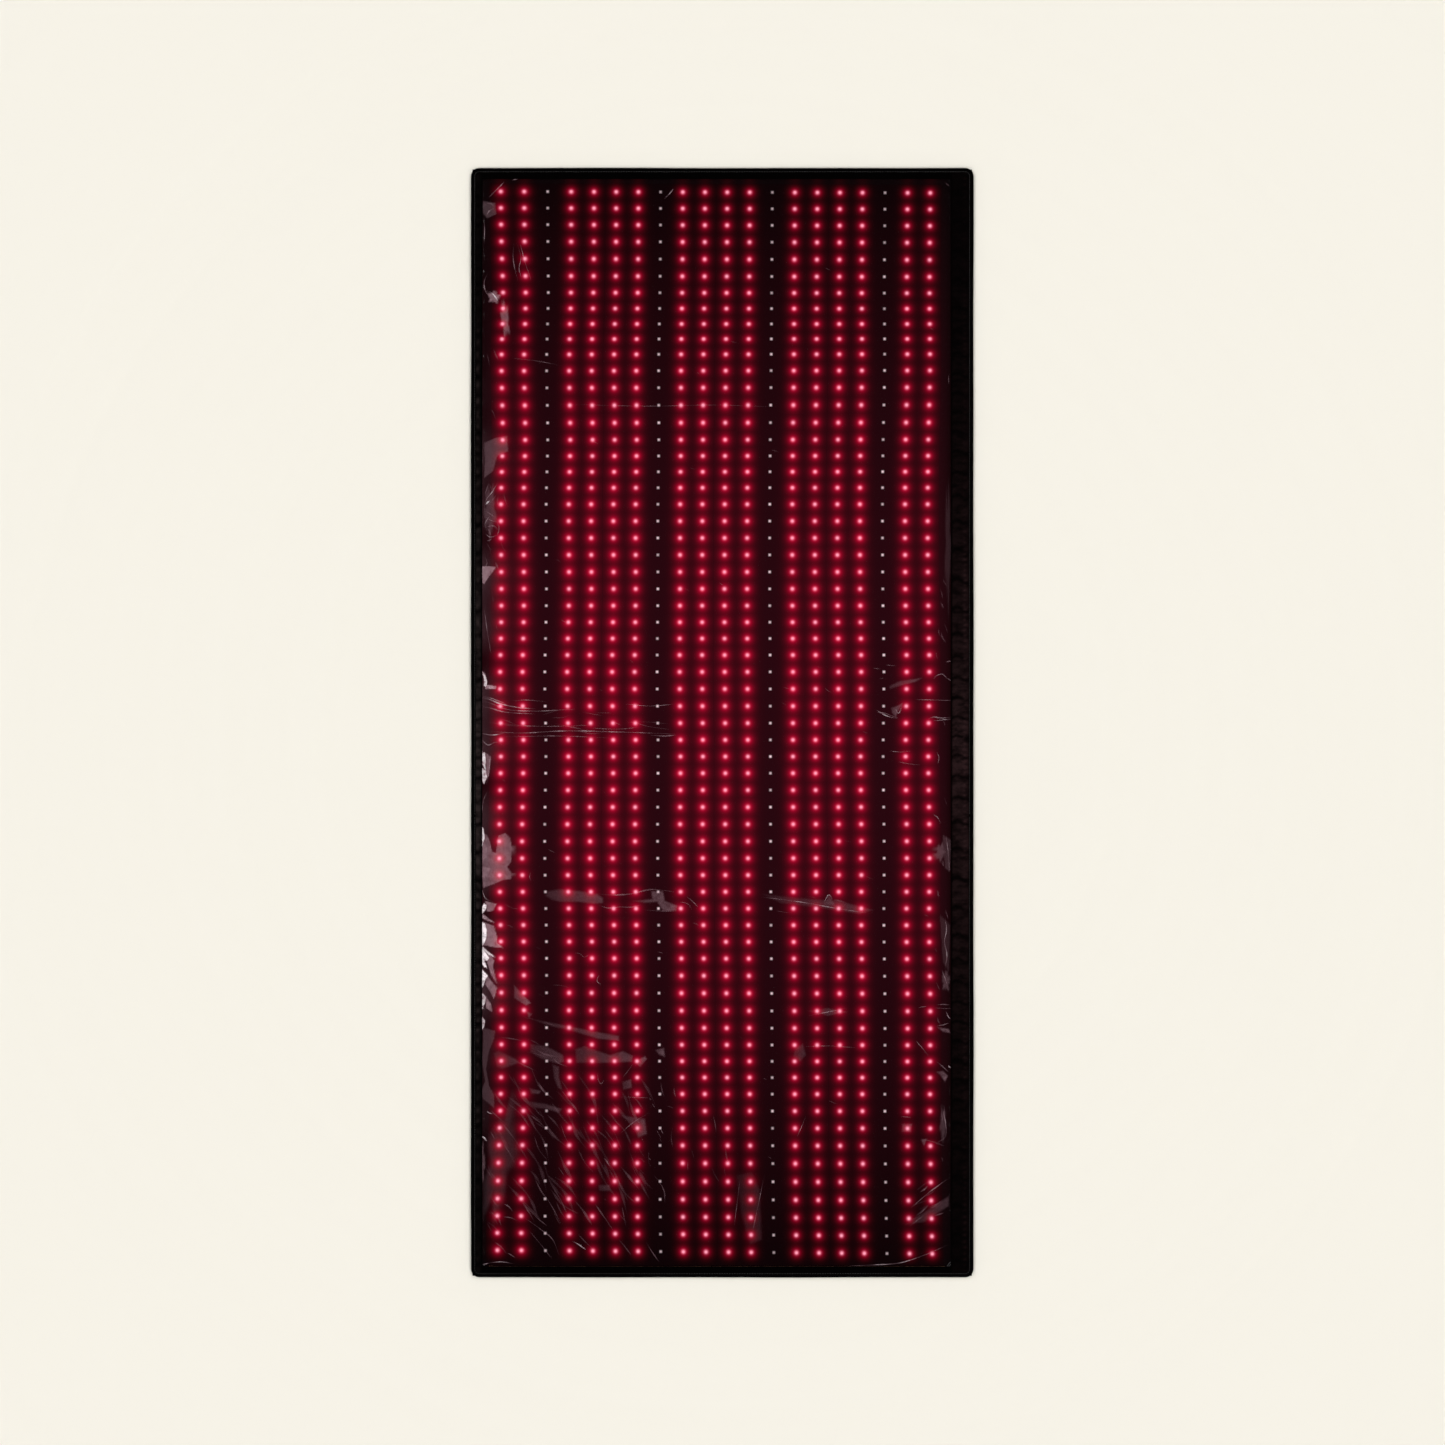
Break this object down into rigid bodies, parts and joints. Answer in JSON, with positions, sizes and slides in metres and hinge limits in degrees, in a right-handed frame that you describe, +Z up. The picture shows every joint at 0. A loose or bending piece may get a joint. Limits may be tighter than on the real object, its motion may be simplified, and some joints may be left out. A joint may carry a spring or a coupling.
{
  "type": "red light therapy mat",
  "caption": "Flat, padded light therapy mat with a grid of red and near-infrared diodes under a clear film, in a black fabric edge, folding across its width.",
  "frame": {"origin": "centre of the mat's underside, when it lies flat", "axes": "+X across the width to the right, +Y along the length to the head end, +Z up out of the lit face"},
  "size_m": [0.8, 1.766, 0.012],
  "materials": {
    "back_fabric": "matt black woven back cloth",
    "foam": "dark open-cell foam",
    "board": "black solder mask on a flexible circuit board",
    "film": "clear soft film, glossy, with white crease marks",
    "border_fabric": "black puckered cloth",
    "edge_tape": "black woven binding tape",
    "copper": "flat copper conductor",
    "lead_sleeve": "black wire sleeve",
    "inlet_plastic": "black moulded plastic",
    "contact": "plated spring brass",
    "diode_package": "white diode package",
    "red_diode": "lit red diode",
    "infrared_diode": "near-infrared diode, lit but almost dark to the eye",
    "thread": "dark sewing thread"
  },
  "bodies": {
    "middle_panel": {"back_cover_middle": "back_fabric", "foam_pad_middle": "foam", "led_board_1_middle": "board", "led_board_2_middle": "board", "led_board_3_middle": "board", "led_board_4_middle": "board", "window_film_middle": "film", "side_border_left_middle": "border_fabric", "side_tape_left_middle": "edge_tape", "side_border_right_middle": "border_fabric", "side_tape_right_middle": "edge_tape"},
    "head_panel": {"back_cover_head": "back_fabric", "foam_pad_head": "foam", "led_board_1_head": "board", "led_board_2_head": "board", "led_board_3_head": "board", "led_board_4_head": "board", "window_film_head": "film", "side_border_left_head": "border_fabric", "side_tape_left_head": "edge_tape", "side_border_right_head": "border_fabric", "side_tape_right_head": "edge_tape", "head_border": "border_fabric", "head_tape": "edge_tape"},
    "foot_panel": {"back_cover_foot": "back_fabric", "foam_pad_foot": "foam", "led_board_1_foot": "board", "led_board_2_foot": "board", "led_board_3_foot": "board", "led_board_4_foot": "board", "window_film_foot": "film", "side_border_left_foot": "border_fabric", "side_tape_left_foot": "edge_tape", "side_border_right_foot": "border_fabric", "side_tape_right_foot": "edge_tape", "foot_border": "border_fabric", "foot_tape": "edge_tape", "bus_positive": "copper", "bus_negative": "copper", "lead_positive": "lead_sleeve", "lead_negative": "lead_sleeve", "inlet_housing": "inlet_plastic", "inlet_pin": "contact", "inlet_spring": "contact"}
  },
  "joints": [
    {"name": "head_fold", "type": "hinge", "parent": "middle_panel", "child": "head_panel", "pos_m": [0, -0.014, 0.01215], "axis": [1, 0, 0], "range_deg": [0, 180]},
    {"name": "foot_fold", "type": "hinge", "parent": "middle_panel", "child": "foot_panel", "pos_m": [0, -0.2825, -0.00015], "axis": [1, 0, 0], "range_deg": [0, 180]}
  ]
}
